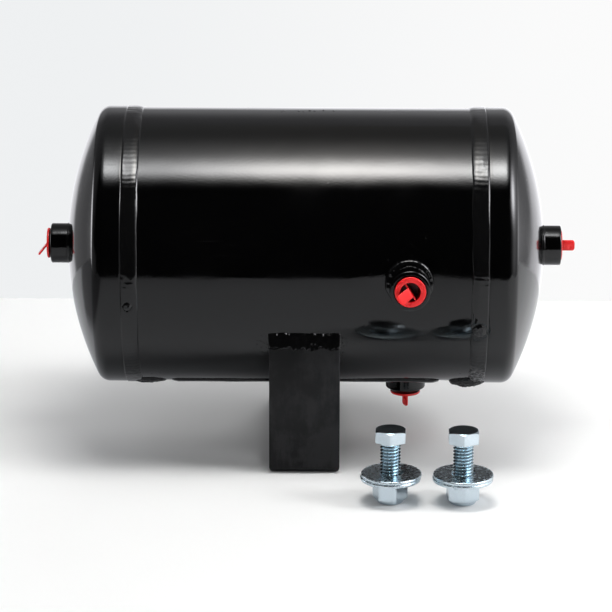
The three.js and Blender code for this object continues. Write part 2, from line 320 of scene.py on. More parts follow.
def gloss_paint(name, peel=1.0):
    """Thick glossy black paint: a little orange peel, caught dust, rubbed patches and hairline scratches."""
    m, t, shader = material(name, **{"IOR": 1.5, "Specular IOR Level": 0.5})
    at = t.position()
    rub = t.noise(at, 28.0, 4.0, 0.6)
    fine = t.noise(at, 900.0, 2.0)
    # hairlines: noise stretched along a tilted direction, kept to a few rubbed patches
    tilt = t.stretched(at, (0.4, 0.7, 0.5), (60.0, 2600.0, 2600.0))
    lines = t.remap(t.noise(tilt, 1.0, 1.0), 0.66, 0.74)
    patch = t.remap(t.noise(at, 14.0, 2.0), 0.56, 0.68)
    scratch = t.times(lines, patch)
    dust = t.specks(at, 95.0, 0.045)
    sparse = t.remap(t.noise(at, 22.0, 1.0), 0.54, 0.62)
    dust = t.times(dust, sparse)
    marks = t.math("MAXIMUM", t.times(scratch, 0.14), dust)
    link(t, t.mix(marks, (0.0009, 0.0009, 0.001), (0.05, 0.05, 0.048)), shader, "Base Color")
    rough = t.remap(rub, 0.38, 0.68, 0.05, 0.13)
    rough = t.plus(rough, t.times(marks, 0.25))
    link(t, rough, shader, "Roughness")
    wave = t.bump(t.noise(at, 45.0, 1.0), 0.06 * peel, 0.002)
    orange = t.bump(fine, 0.03 * peel, 0.0006, wave)
    link(t, t.bump(marks, 0.25, 0.0003, orange), shader, "Normal")
    return m


def weld_paint(name):
    """The same paint pooled over a weld: pitted, with sharper ripples, and its colour painted blacker in the
    hollows of its lumps, as shade.
    """
    m, t, shader = material(name, **{"IOR": 1.5, "Specular IOR Level": 0.5})
    at = t.position()
    pits = t.specks(at, 260.0, 0.2)
    some = t.remap(t.noise(at, 60.0, 2.0), 0.52, 0.64)
    pits = t.times(pits, some)
    coarse = t.noise(at, 420.0, 3.0, 0.6)
    # painted shade: the colour is blacker where the same noise makes the lumps' bump lowest
    link(t, t.mix(coarse, (0.0015, 0.0015, 0.0018), (0.005, 0.005, 0.005)), shader, "Base Color")
    link(t, t.remap(coarse, 0.3, 0.75, 0.045, 0.11), shader, "Roughness")
    lumps = t.bump(coarse, 0.06, 0.0006)
    link(t, t.bump(pits, -0.9, 0.0006, lumps), shader, "Normal")
    return m


def satin_paint(name):
    """Thin satin black paint on flat strap: clouds, smears and light scuffs, and duller near the floor."""
    m, t, shader = material(name, IOR=1.5)
    at = t.position()
    cloud = t.noise(at, 42.0, 6.0, 0.66)
    smear = t.noise(t.stretched(at, (0.5, 0.0, 0.0), (300.0, 300.0, 55.0)), 1.0, 4.0, 0.6)
    tone = t.plus(t.times(cloud, 0.7), t.times(smear, 0.3))
    scuff = t.remap(t.noise(at, 210.0, 5.0, 0.7), 0.62, 0.72)
    base = t.mix(t.remap(tone, 0.42, 0.58), (0.0045, 0.0045, 0.005), (0.0155, 0.0155, 0.0165))
    height = t.add("ShaderNodeSeparateXYZ", {0: at}).outputs[2]
    link(t, t.mix(t.times(scuff, 0.3), base, (0.03, 0.03, 0.032)), shader, "Base Color")
    link(t, t.remap(tone, 0.38, 0.64, 0.36, 0.5), shader, "Roughness")
    link(t, t.remap(height, 0.0, 0.05, 0.16, 0.36), shader, "Specular IOR Level")
    grain = t.bump(t.noise(at, 1100.0, 2.0), 0.05, 0.0003)
    link(t, t.bump(cloud, 0.1, 0.0012, grain), shader, "Normal")
    return m


def red_plastic(name):
    """Soft moulded polyethylene: slightly waxy, with fine moulding grain and flow marks, and painted shade
    that darkens the red in its cavity and hollows.
    """
    m, t, shader = material(name, **{
        "IOR": 1.5, "Specular IOR Level": 0.5, "Subsurface Weight": 0.2, "Subsurface Scale": 0.0012,
        "Subsurface Radius": (1.0, 0.12, 0.1)})
    at = t.position()
    cloud = t.noise(at, 160.0, 3.0)
    red = t.mix(cloud, (0.8, 0.01, 0.012), (0.93, 0.02, 0.022))
    # painted shade: ambient occlusion turns the red towards a deep red-black in the cavity and other hollows
    cavity_shade_ao = t.add("ShaderNodeAmbientOcclusion", {"Distance": 0.007}, samples=8).outputs["AO"]
    link(t, t.mix(t.remap(cavity_shade_ao, 0.25, 0.8), (0.06, 0.001, 0.001), red), shader, "Base Color")
    link(t, t.remap(cloud, 0.3, 0.7, 0.26, 0.4), shader, "Roughness")
    link(t, t.bump(t.noise(at, 1400.0, 2.0), 0.08, 0.0004), shader, "Normal")
    return m


def zinc(name, worn=0.0, shine=0.13, root=0.0, crest=0.0):
    """Bright zinc plate over steel: bluish, faintly clouded, and scuffed where parts have rubbed together.

    Its least dull spots have the roughness shine. Between the radii root and crest about its own axis it is a
    thread, painted darker towards the root as shade in its grooves."""
    m, t, shader = material(name, **{"Metallic": 1.0})
    at = t.position()
    speckle = t.remap(t.noise(at, 850.0 - 420.0 * worn, 6.0, 0.72), 0.4 + 0.1 * worn, 0.66 + 0.04 * worn)
    cloud = t.noise(at, 120.0, 4.0, 0.6)
    dull = t.plus(t.times(speckle, 0.12 + 0.35 * worn), t.times(cloud, 0.3))
    plate = t.mix(dull, (0.8, 0.9, 0.95), (0.45, 0.54, 0.6))
    # painted shade: on a thread the colour darkens from its crests down into its grooves
    if crest:
        x, y, _ = t.add("ShaderNodeSeparateXYZ", {0: at}).outputs
        plate = t.mix(t.remap(t.distance(x, y), root, crest), (0.24, 0.33, 0.38), (0.6, 0.74, 0.81))
    link(t, plate, shader, "Base Color")
    link(t, t.remap(dull, 0.05, 0.8, shine, 0.3 + 0.3 * worn), shader, "Roughness")
    scuffs = t.bump(cloud, 0.05, 0.0006)
    link(t, t.bump(speckle, 0.01 + 0.01 * worn, 0.0002, scuffs), shader, "Normal")
    return m


def nylon(name):
    """Moulded nylon ring: pale, faintly blue, with a cut inner edge."""
    m, t, shader = material(name, **{"Subsurface Weight": 0.2, "Subsurface Scale": 0.001})
    at = t.position()
    cloud = t.noise(at, 300.0, 3.0)
    link(t, t.mix(cloud, (0.62, 0.76, 0.82), (0.74, 0.85, 0.9)), shader, "Base Color")
    link(t, t.remap(cloud, 0.3, 0.7, 0.4, 0.6), shader, "Roughness")
    link(t, t.bump(t.noise(at, 2000.0, 2.0), 0.1, 0.0003), shader, "Normal")
    return m


GLOSS = gloss_paint("gloss_black_paint")
WELD = weld_paint("painted_weld")
BUNG = gloss_paint("gloss_black_paint_turned", 1.6)
SATIN = satin_paint("satin_black_paint")
RED = red_plastic("red_plug_plastic")
ZINC = zinc("bright_zinc")
ZINC_WORN = {"a": zinc("lightly_rubbed_zinc", 0.5, 0.25), "b": zinc("rubbed_zinc", 1.0, 0.22)}
ZINC_THREAD = zinc("threaded_zinc", root=BOLT_R - BOLT_DEPTH, crest=BOLT_R - 0.1 * MM)
NYLON = nylon("nylon_ring")


# ---- Vessel ----------------------------------------------

def lift(points):
    """Points about the tank's own axis, moved up to it."""
    return np.asarray(points) + np.array([0, 0, AXIS_Z])


def clocked(clock, x=0.0, radius=0.0):
    """The placed frame of a port on the shell: +Y points out of it."""
    a = rad(clock)
    place = Matrix.Translation((x, radius * math.cos(a), AXIS_Z + radius * math.sin(a)))
    return place @ Matrix.Rotation(a, 4, "X")


def drawn_in(distance):
    """How far the shell is pulled in round a side port, at a distance from the port's axis."""
    return DRAWN_DEPTH * math.exp(-0.5 * (distance / DRAWN_WIDTH) ** 2)


def shell():
    edge = 0.4 * MM
    ends = [(SHELL_R - edge, SHELL_HALF), (SHELL_R, SHELL_HALF - edge)]
    profile = [(r, -h) for r, h in ends]
    profile += along((SHELL_R, edge - SHELL_HALF), (SHELL_R, SHELL_HALF - edge), 150)[1:]
    profile += [ends[1], ends[0], (SHELL_R - WALL, SHELL_HALF), (SHELL_R - WALL, -SHELL_HALF)]
    points = lathe(profile, 360, "X")
    axes = [Vector((0, math.cos(rad(c)), math.sin(rad(c)))) for c in (FRONT_CLOCK, DRAIN_CLOCK)]
    for row in points:
        for p in row:
            v = Vector(p) - Vector((SIDE_X, 0, 0))
            near = [a for a in axes if v.dot(a) > 0 and (v - a * v.dot(a)).length < DRAWN_REACH]
            pull = sum(drawn_in((v - a * v.dot(a)).length) for a in near)
            p[1:] *= 1 - pull / SHELL_R
    obj = Build().grid(lift(points), wrap_rows=True).object("shell_skin")
    cutters = []
    for clock in (FRONT_CLOCK, DRAIN_CLOCK):
        rod = lathe([(PILOT_HOLE_R, SHELL_R * 0.6), (PILOT_HOLE_R, SHELL_R * 1.2)], 48)
        c = Build().grid(rod).cap(rod[0]).cap(rod[-1]).object("cutter")
        c.matrix_world = clocked(clock, SIDE_X)
        cutters.append(c)
    bpy.context.view_layer.update()
    cut(obj, cutters)
    smooth(obj.data, 30)
    piece(obj, "tank", "gloss_paint", GLOSS, "shell")


def head_curve(inset, steps):
    """(radius, height) points from a head's skirt to the port hole in its crown, inset from the outside."""
    crown, knuckle, skirt = CROWN_R - inset, KNUCKLE_R - inset, HEAD_R - inset
    centre = APEX - CROWN_R
    kr = skirt - knuckle
    ky = centre + math.sqrt((crown - knuckle) ** 2 - kr ** 2)
    meet = math.degrees(math.atan2(ky - centre, kr))
    hole = math.degrees(math.acos(PILOT_HOLE_R / crown))
    return arc(kr, ky, knuckle, 0, meet, steps[0]) + arc(0, centre, crown, meet, hole, steps[1])[1:]


def head(name, side):
    """A dished end. Its profile runs up the outside from lip to port hole, and back down the inside."""
    lip = SHELL_R - WALL - 0.3 * MM
    round_r = 1.3 * MM
    profile = [(lip - WALL, LIP_END), (lip, LIP_END), (lip, LIP_START)]
    profile += [(lip + 0.8 * MM, LIP_START + 0.9 * MM), (HEAD_R - 1.6 * MM, SKIRT_END - 0.9 * MM)]
    profile += arc(HEAD_R - round_r, SKIRT_END + round_r * 0.6, round_r, -75, 0, 8)
    curve = head_curve(0, (14, 60))
    profile += along(profile[-1], curve[0], 6)[1:] + curve
    inner = head_curve(WALL, (8, 30))[::-1]
    profile += inner + [(HEAD_R - WALL, SKIRT_END + 1.4 * MM), (lip - WALL, LIP_START + 0.8 * MM)]
    points = lathe(profile, 256, "X")
    points[..., 0] *= side
    obj = Build().grid(lift(points), wrap_rows=True).object(name + "_dish", sharp=40)
    piece(obj, "tank", "gloss_paint", GLOSS, name)


def bead_height(s, u, seed):
    """Height of a weld bead, about 0 to 1, at a distance s along it in metres and u from 0 to 1 across it."""
    crown = max(0.0, 1 - (2 * u - 1) ** 4) ** 0.7
    ripples = math.cos(TAU * (s / 0.0031 + 1.1 * (u - 0.5) ** 2 + 0.5 * fractal(s * 90, seed, 0.3, 2)))
    slow = fractal(s * 45, u * 1.1, seed, 2)
    rough = max(0.0, fractal(s * 22, seed, 5.1, 2)) * fractal(s * 240, u * 2.0, seed, 2)
    return crown * (0.84 + 0.012 * ripples + 0.16 * slow + 0.14 * rough)


# Where a round lump of weld has run over each bead: its place along the tank and round it, radius and height
SPILLS = {1: (94.5 * MM, rad(202), 3.9 * MM, 1.1), -1: (95.5 * MM, rad(191), 2.3 * MM, 0.8)}


def spill(side, x, angle):
    """The height that the lump adds, with a crease round it."""
    at_x, at_angle, radius, height = SPILLS[side]
    d = math.hypot(x - at_x, (angle - at_angle) * SHELL_R) / radius
    rough = 1 + 0.5 * fractal(x * 700, angle * 60, 0.7, 2)
    return MM * height * (rough * math.sqrt(max(0.0, 1 - d * d)) - 0.4 * math.exp(-((d - 1.12) / 0.1) ** 2))


def seam_lump(side, seed):
    """The rough dome of weld where the seam runs into a girth bead."""
    height, middle_x = (3.5 * MM, 90 * MM) if side > 0 else (2.1 * MM, 87 * MM)
    half_x, half_round = 10.2 * MM, 6 * MM
    n, m = 40, 60
    lump = np.zeros((n, m, 3))
    for i in range(n):
        for j in range(m):
            e, w = i / (n - 1) * 2 - 1, j / (m - 1) * 2 - 1
            dome = math.sqrt(max(0.0, 1 - e * e - w * w))
            wob = 1 + 0.3 * fractal(e * 2.2 + seed, w * 2.2, 1.7, 3)
            wob += 0.12 * fractal(e * 9 + seed, w * 9, 3.1, 2)
            r = SHELL_R - 0.5 * MM + height * dome * wob
            t = SEAM_ANGLE + w * half_round / SHELL_R
            lump[i, j] = (side * (middle_x + e * half_x), r * math.cos(t), r * math.sin(t))
    return lump


def girth_weld(name, side, seed):
    """A smooth bead that fills the joint, laps onto the shell and drops steeply to meet the head's skirt."""
    rows, cols = 48, 1000
    span = BEAD_OUTER - BEAD_INNER
    root = SHELL_R - 1.6 * MM
    ring = np.zeros((rows, cols, 3))
    for j, t in enumerate(circle(cols)):
        s, cx, cy = t * SHELL_R, math.cos(t), math.sin(t)
        wander = 0.5 * MM * fractal(cx * 3.1, cy * 3.1, seed + 4, 3)
        near_seam = math.exp(-((t - SEAM_ANGLE % TAU + 0.16) / 0.2) ** 2)
        drop_at = 0.885 + 0.012 * fractal(cx * 6.3, cy * 6.3, seed + 7, 2)
        for i in range(rows):
            u = i / (rows - 1)
            x = BEAD_INNER + span * u + wander * (1 - u) ** 0.5
            h = bead_height(s, u * 0.8, seed)
            scale = fractal(s * 210, u * 4, seed + 2, 2) * near_seam * (0.8 if side > 0 else 0.15)
            r = SHELL_R - SUNK + BEAD_CREST * (1.25 * h + scale) + spill(side, x, t)
            foot = min(1.0, max(0.0, (u - drop_at) / 0.055))
            r += (HEAD_R - 0.25 * MM - r) * foot
            ring[i, j] = (side * x, r * cx, r * cy)
    a = circle(cols)
    skirts = [np.stack([np.full(cols, side * x), root * np.cos(a), root * np.sin(a)], -1)
              for x in (99.8 * MM, BEAD_INNER + 0.6 * MM)]
    b = Build().grid(lift(np.concatenate([ring, np.array(skirts)])), wrap_rows=True)
    b.grid(lift(seam_lump(side, seed)), wrap_cols=False)
    obj = b.object(name + "_bead", sharp=60)
    piece(obj, "tank", "gloss_paint", WELD, name)


def seam_weld():
    half = extent("seam_weld").x / 2
    rows, cols = 700, 22
    strip = np.zeros((rows, cols, 3))
    for i in range(rows):
        x = -half + 2 * half * i / (rows - 1)
        end = min(1.0, (half - abs(x)) / (4 * MM)) ** 0.5 if abs(x) < half else 0.0
        wander = 0.5 * MM * fractal(x * 45, 2.3, 0, 3)
        for j in range(cols):
            u = j / (cols - 1)
            h = bead_height(x, u, 31.0) * (0.95 + 0.3 * fractal(x * 30, 8.8, 0, 2)) * end
            t = SEAM_ANGLE + ((u - 0.5) * SEAM_WIDTH + wander) / SHELL_R
            r = SHELL_R - SUNK + SEAM_CREST * h
            strip[i, j] = (x, r * math.cos(t), r * math.sin(t))
    obj = Build().grid(lift(strip), wrap_cols=False).object("seam_bead", sharp=60)
    piece(obj, "tank", "gloss_paint", WELD, "seam_weld")


def blobs(name, places, seed):
    """Small frozen droplets on the vessel. Each place is (x, angle round the tank, radius of the droplet)."""
    rng = np.random.default_rng(seed)
    b = Build()
    u, v = np.meshgrid(np.linspace(0, math.pi / 2, 5), circle(10), indexing="ij")
    for x, angle, size in places:
        squeeze, height = rng.uniform(0.7, 1.5), rng.uniform(0.35, 0.7)
        base = SHELL_R - SUNK - drawn_in(math.hypot(x - SIDE_X, (angle - rad(FRONT_CLOCK)) * SHELL_R))
        px = x + size * squeeze * np.sin(u) * np.cos(v)
        pa = angle + size * np.sin(u) * np.sin(v) / SHELL_R
        pr = base + size * height * np.cos(u) + 0.1 * MM
        b.grid(lift(np.stack([px, pr * np.cos(pa), pr * np.sin(pa)], -1)))
    piece(b.object(name, sharp=70), "tank", "gloss_paint", WELD)


def spatter():
    """Weld spatter under the paint, thickest beside the foot's weld, and a row of drips along the top."""
    rng = np.random.default_rng(7)
    toe = rad(180 + 30)
    places = []
    # on either side of the foot's front weld
    for side in (-1, 1):
        for _ in range(26):
            x = side * (19.8 * MM + abs(rng.normal(0, 5 * MM)))
            places.append((x, toe + rng.normal(0, 4.5 * MM) / SHELL_R, rng.uniform(0.2, 0.55) * MM))
    # just over it
    for _ in range(16):
        x, below = rng.uniform(-17, 17) * MM, rng.uniform(4, 8) * MM
        places.append((x, toe - below / SHELL_R, rng.uniform(0.2, 0.4) * MM))
    # round the front port
    for _ in range(34):
        turn, far = rng.uniform(0, TAU), (15 + abs(rng.normal(0, 6))) * MM
        places.append((SIDE_X + far * math.cos(turn), rad(FRONT_CLOCK) + far * math.sin(turn) / SHELL_R,
                       rng.uniform(0.12, 0.3) * MM))
    # beside the girth welds
    for _ in range(50):
        x = rng.choice([-1, 1]) * rng.uniform(74, 88) * MM
        places.append((x, rad(rng.uniform(172, 262)), rng.uniform(0.12, 0.35) * MM))
    # along the top
    for x in (-13.5, -12.2, -4, -1.5, 2, 4.6, 9.5, 15.2):
        places.append((x * MM, rad(90 + rng.uniform(-1.5, 1.5)), rng.uniform(0.5, 0.8) * MM))
    blobs("weld_spatter", places, 3)


# ---- Ports -----------------------------------------------

def thread(radius, depth, low, high, pitch, steps=10, count=96):
    """Rows of points up a helical thread about +Y. A negative depth cuts into a bore's wall."""
    n = max(2, int((high - low) / pitch * steps))
    a = circle(count)
    rows = []
    for i in range(n + 1):
        h = low + (high - low) * i / n
        fade = min(1.0, i / steps, (n - i) / steps)
        phase = (h / pitch - a / TAU) % 1.0
        tooth = np.clip(np.abs(phase * 2 - 1) * 1.35 - 0.17, 0, 1)
        r = radius - depth * tooth * fade
        rows.append(np.stack([r * np.sin(a), np.full(count, h), r * np.cos(a)], -1))
    return np.array(rows)


def port_frames():
    """Each port's placed frame, with +Y out of it and its foot at the origin, and how far out its face is."""
    def end(side):
        return Matrix.Translation((side * APEX, 0, AXIS_Z)) @ Matrix.Rotation(-side * math.pi / 2, 4, "Z")

    faces = {
        "left": -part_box("port_bung_left")[0][0] - APEX,
        "right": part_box("port_bung_right")[1][0] - APEX,
        "front": FRONT_PROUD,
        "drain": AXIS_Z - SHELL_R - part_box("port_bung_drain")[0][2],
    }
    frames = {"left": end(-1), "right": end(1), "front": clocked(FRONT_CLOCK, SIDE_X, SHELL_R),
              "drain": clocked(DRAIN_CLOCK, SIDE_X, SHELL_R)}
    return frames, faces


FRAMES, FACES = port_frames()


def placed(obj, matrix):
    obj.data.transform(matrix)
    return obj


def bung(side):
    """A turned port: pilot, shoulder, outside, rounded face and recessed mouth, then its thread back down."""
    face = FACES[side]
    edge = 0.9 * MM
    low = 0.2 * MM if side in ("left", "right") else -1.6 * MM
    outside = [(PILOT_R, -PILOT_DEPTH), (PILOT_R, low), (BUNG_R - 0.4 * MM, low), (BUNG_R, low + 0.4 * MM)]
    outside += [(BUNG_R, low + (face - edge - low) * k / 8) for k in range(1, 9)]
    outside += arc(BUNG_R - edge, face - edge, edge, 12, 78, 6)
    outside += [(MOUTH_R + 0.3 * MM, face), (MOUTH_R, face - 0.3 * MM), (MOUTH_R, face - MOUTH_DEPTH)]
    outside += [(BORE_R + 0.7 * MM, face - MOUTH_DEPTH), (BORE_R, face - MOUTH_DEPTH - 0.7 * MM)]
    top = face - MOUTH_DEPTH - 0.75 * MM
    inside = thread(BORE_R, -PIPE_DEPTH, -PILOT_DEPTH, top, PIPE_PITCH)[::-1]
    b = Build().grid(np.concatenate([lathe(outside, 96), inside]), wrap_rows=True)
    obj = b.object(f"port_bung_{side}_turned", sharp=32)
    piece(placed(obj, FRAMES[side]), "tank", "gloss_paint", BUNG, f"port_bung_{side}")


def saddle_drop(x, z, side):
    """How far the vessel's surface falls away below a port's foot, at x, z across it."""
    if side in ("left", "right"):
        return CROWN_R - math.sqrt(CROWN_R ** 2 - x * x - z * z)
    return SHELL_R - math.sqrt(SHELL_R ** 2 - z * z) + drawn_in(math.hypot(x, z))


def bung_weld(side, seed):
    """The fillet round a port: thin on the heads, and thicker with faint ripples on the shell."""
    on_head = side in ("left", "right")
    width, tall = (0.8 * MM, 1.3 * MM) if on_head else (2.3 * MM, 2.8 * MM)
    inner = BUNG_R - (0.5 if on_head else 0.2) * MM
    rows, cols = 18, 480
    ring = np.zeros((rows, cols, 3))
    for j, a in enumerate(circle(cols)):
        s = a * BUNG_R
        swell = 1 + 0.12 * fractal(math.cos(a) * 1.8, math.sin(a) * 1.8, seed, 3)
        for i in range(rows):
            u = i / (rows - 1)
            q = u * math.pi / 2
            lumps = 1 + 0.012 * math.cos(TAU * (s / 0.0042 + 0.4 * fractal(s * 120, seed, u, 2)))
            lumps += 0.03 * fractal(s * 110, u * 1.2, seed, 2)
            grow = swell * lumps
            r = inner + width * math.sin(q) ** 0.55 * grow
            x, z = r * math.sin(a), r * math.cos(a)
            y = -saddle_drop(x, z, side) - 0.25 * MM + tall * math.cos(q) ** 0.55 * grow
            ring[i, j] = (x, y, z)
    obj = Build().grid(ring).object(f"bung_weld_{side}_bead", sharp=60)
    piece(placed(obj, FRAMES[side]), "tank", "gloss_paint", WELD, f"bung_weld_{side}")


# radii, depths and thicknesses of a plug, from its flange's underside
PLUG = {"flange": 8.4 * MM, "thick": 1.5 * MM, "body": 6.15 * MM, "tip": 5.6 * MM, "depth": 8.2 * MM,
        "cavity": 5.4 * MM, "web": 1.0 * MM, "drop": 0.8 * MM, "tab": 6.0 * MM, "tab_thick": 0.95 * MM}


def rounded_bar(width, thick, r, steps=4):
    """A closed (x, z) section with rounded corners."""
    w, t = width / 2 - r, thick / 2 - r
    out = []
    for cx, cz, start in ((w, t, 0), (-w, t, 90), (-w, -t, 180), (w, -t, 270)):
        out += arc(cx, cz, r, start, start + 90, steps)
    return out


def strap_tab(b, top, lean, length):
    """The pull strap: it rises from the web, soon bends over, and ends in a rounded tip."""
    section = rounded_bar(PLUG["tab"], PLUG["tab_thick"], 0.35 * MM)
    n, root = 30, 0.6 * MM
    y, z, rows = top - root, 0.0, []
    step = (length + root) / n
    for i in range(n + 1):
        s = -root + i * step
        t = min(1.0, max(0.0, (s + root) / (2.2 * MM)))
        bend = rad(lean) * t * t * (3 - 2 * t)
        tip = max(0.0, (s - length + 1.6 * MM) / (1.6 * MM))
        narrow = math.sqrt(max(0.05, 1 - 0.75 * tip ** 3))
        rows.append([(px * narrow, y - pz * math.sin(bend), z + pz * math.cos(bend)) for px, pz in section])
        y += step * math.cos(bend)
        z += step * math.sin(bend)
    b.grid(rows).cap(rows[0]).cap(rows[-1])


def plug(side, proud, turn, lean, tab):
    """A moulded plug: a hollow tapered body with a flange, a web across the cavity and a strap to pull it by.

    It stands proud of its port's face, turned about the port's axis, with its strap leaning to one side."""
    p = PLUG
    e = 0.45 * MM
    profile = [(0, -p["depth"]), (p["tip"] - 1.0 * MM, -p["depth"])]
    profile += arc(p["tip"] - 1.0 * MM, -p["depth"] + 1.0 * MM, 1.0 * MM, -90, 0, 5)[1:]
    profile += along((p["tip"], -p["depth"] + 1.2 * MM), (p["body"], -0.5 * MM), 6)
    profile += [(p["body"], -0.4 * MM), (p["body"] + 0.25 * MM, 0), (p["flange"] - e, 0)]
    profile += arc(p["flange"] - e, e, e, -90, 0, 5)[1:]
    profile += arc(p["flange"] - 0.6 * MM, p["thick"] - 0.6 * MM, 0.6 * MM, 0, 90, 6)
    profile += arc(p["cavity"] + 0.35 * MM, p["thick"] - 0.35 * MM, 0.35 * MM, 90, 180, 5)
    profile += along((p["cavity"], p["thick"] - 0.5 * MM), (p["cavity"] - 0.5 * MM, 1.6 * MM - p["depth"]), 8)
    profile += arc(p["cavity"] - 1.1 * MM, 1.6 * MM - p["depth"], 0.6 * MM, 0, -90, 4)
    profile += [(0, 1.0 * MM - p["depth"])]
    b = Build().grid(lathe(profile, 96))
    top = p["thick"] - p["drop"]
    web = rounded_bar(2 * p["cavity"] + 0.4 * MM, p["web"], 0.3 * MM)
    low = 0.6 * MM - p["depth"]
    levels = [(low, 0.9, 1), (-3 * MM, 0.95, 1), (top - 0.5 * MM, 1, 1),
              (top - 0.15 * MM, 1, 0.9), (top, 0.99, 0.5)]
    rows = [[(x * wide, y, z * thick) for x, z in web] for y, wide, thick in levels]
    b.grid(rows).cap(rows[0]).cap(rows[-1])
    strap_tab(b, top, lean, tab)
    obj = b.object(f"plug_{side}_moulded", sharp=50)
    spin = Matrix.Translation((0, FACES[side] + proud, 0)) @ Matrix.Rotation(rad(turn), 4, "Y")
    piece(placed(obj, FRAMES[side] @ spin), f"{side}_plug", "plug_plastic", RED, f"plug_{side}")


# ---- Foot ------------------------------------------------

def foot_bracket():
    """A flat strap bent up at both ends, coped to the shell, with two bolt holes and eased edges."""
    span, width = extent("foot_bracket").y / 2, extent("foot_bracket").x / 2
    bend, top = BEND_R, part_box("foot_bracket")[1][2] + 2 * MM
    inner, small = span - STRAP, bend - STRAP
    steps = 14
    line = [(-span, top), *arc(-span + bend, bend, bend, 180, 270, steps),
            *arc(span - bend, bend, bend, 270, 360, steps), (span, top), (inner, top),
            *arc(inner - small, STRAP + small, small, 0, -90, 8),
            *arc(-inner + small, STRAP + small, small, -90, -180, 8), (-inner, top)]
    mesh = bpy.data.meshes.new("strap")
    n = len(line)
    # bending has drawn the strap's edges in at the foot of each leg
    pinch = [1.2 * MM * max(0.0, 1 - z / (3.5 * MM)) ** 2 if abs(y) > inner - small else 0.0 for y, z in line]
    verts = [(sx * (width - p), y, z) for sx in (-1, 1) for (y, z), p in zip(line, pinch)]
    faces = [list(range(n)), list(range(2 * n - 1, n - 1, -1))]
    faces += [[i, (i + 1) % n, n + (i + 1) % n, n + i] for i in range(n)]
    mesh.from_pydata(verts, [], faces)
    obj = finish_mesh("foot_strap", mesh)
    cope = lathe([(SHELL_R + 0.15 * MM, -0.1), (SHELL_R + 0.15 * MM, 0.1)], 192, "X")
    cutters = [Build().grid(lift(cope)).cap(lift(cope)[0]).cap(lift(cope)[-1]).object("cutter")]
    for y in (-FOOT_HOLE_Y, FOOT_HOLE_Y):
        hole = lathe([(FOOT_HOLE_R, -0.01), (FOOT_HOLE_R, 0.02)], 48, "Z") + np.array([0, y, 0])
        cutters.append(Build().grid(hole).cap(hole[0]).cap(hole[-1]).object("cutter"))
    cut(obj, cutters)
    bevel = obj.modifiers.new("edges", "BEVEL")
    bevel.width, bevel.segments, bevel.limit_method, bevel.angle_limit = 0.7 * MM, 3, "ANGLE", rad(50)
    bevel.use_clamp_overlap = True
    apply_modifiers(obj)
    smooth(obj.data, 38)
    piece(obj, "tank", "bracket_paint", SATIN, "foot_bracket")


def bracket_weld(name, side, seed):
    """A fillet hanging under the shell: its face leans back as it rises, and its lower edge is ragged."""
    half = extent(name).x / 2
    face = extent("foot_bracket").y / 2
    top = (SHELL_R * math.cos(FOOT_WELD_ANGLE), AXIS_Z - SHELL_R * math.sin(FOOT_WELD_ANGLE))
    rows, cols = 260, 26
    strip = np.zeros((rows, cols, 3))
    for i in range(rows):
        e = i / (rows - 1) * 2 - 1
        x = e * half
        end = max(0.0, 1 - abs(e) ** 16) ** 0.5
        rag = fractal(x * 150, seed, 0, 3) + 0.5 * fractal(x * 600, seed, 4, 2)
        low = AXIS_Z - FOOT_WELD_DROP - 1.5 * MM * rag
        belly = (1.9 + 0.35 * fractal(x * 110, seed, 9, 2)) * MM * (0.4 + 0.6 * end)
        crest = 0.9 * MM * fractal(x * 210, seed, 14, 3)
        line = [(top[0] - 0.6 * MM, top[1] + 0.4 * MM + crest),
                (top[0] + 0.3 * belly, top[1] - 1.0 * MM + crest),
                (top[0] + 0.65 * belly, (top[1] + low) / 2), (top[0] + belly, low + 1.1 * MM),
                (top[0] + 1.06 * belly, low + 0.1 * MM), (face - 0.5 * MM, low + 0.4 * MM)]
        for j in range(cols):
            u = j / (cols - 1) * (len(line) - 1)
            k = min(int(u), len(line) - 2)
            f = u - k
            y = line[k][0] + (line[k + 1][0] - line[k][0]) * f
            z = line[k][1] + (line[k + 1][1] - line[k][1]) * f
            y += 0.16 * MM * fractal(x * 260, j * 0.16, seed, 3)
            strip[i, j] = (x, side * y, z)
    obj = Build().grid(strip, wrap_cols=False).object(name + "_bead", sharp=60)
    piece(obj, "tank", "gloss_paint", WELD, name)


# ---- Bolt sets -------------------------------------------

def hexagon(b, flats, low, high, turn, chamfer_low=True, bore=0.0):
    """A hexagonal head or nut about +Z, with its corners turned down by a 30 degree cone above and below."""
    folded = np.tile(np.linspace(-math.pi / 6, math.pi / 6, 25)[:-1], 6)
    a = rad(turn) + folded + np.repeat(np.arange(6) * math.pi / 3, 24)
    count = len(a)
    hexr = flats / 2 / np.cos(folded)
    slope = math.tan(rad(30))
    ring = flats / 2 * 0.97
    edge = 0.12 * MM

    def level(h, r):
        return np.stack([r * np.cos(a), r * np.sin(a), np.broadcast_to(h, a.shape)], -1)

    rows = []
    if chamfer_low:
        rows += [level(low, np.full(count, ring)), level(low + (hexr - ring) * slope, hexr)]
    else:
        rows += [level(low, hexr - edge), level(low + edge, hexr)]
    rows += [level(low + (high - low) * k, hexr) for k in (0.35, 0.65)]
    rows += [level(high - (hexr - ring) * slope, hexr), level(high, np.full(count, ring))]
    if bore:
        rows += [level(high, np.full(count, bore)), level(low, np.full(count, bore))]
        b.grid(rows, wrap_rows=True)
    else:
        b.grid(rows).cap(rows[0]).cap(rows[-1])


def stand(obj, c):
    """Moves obj, built about the world's upright axis, to stand over c."""
    return placed(obj, Matrix.Translation((c.x, c.y, 0)))


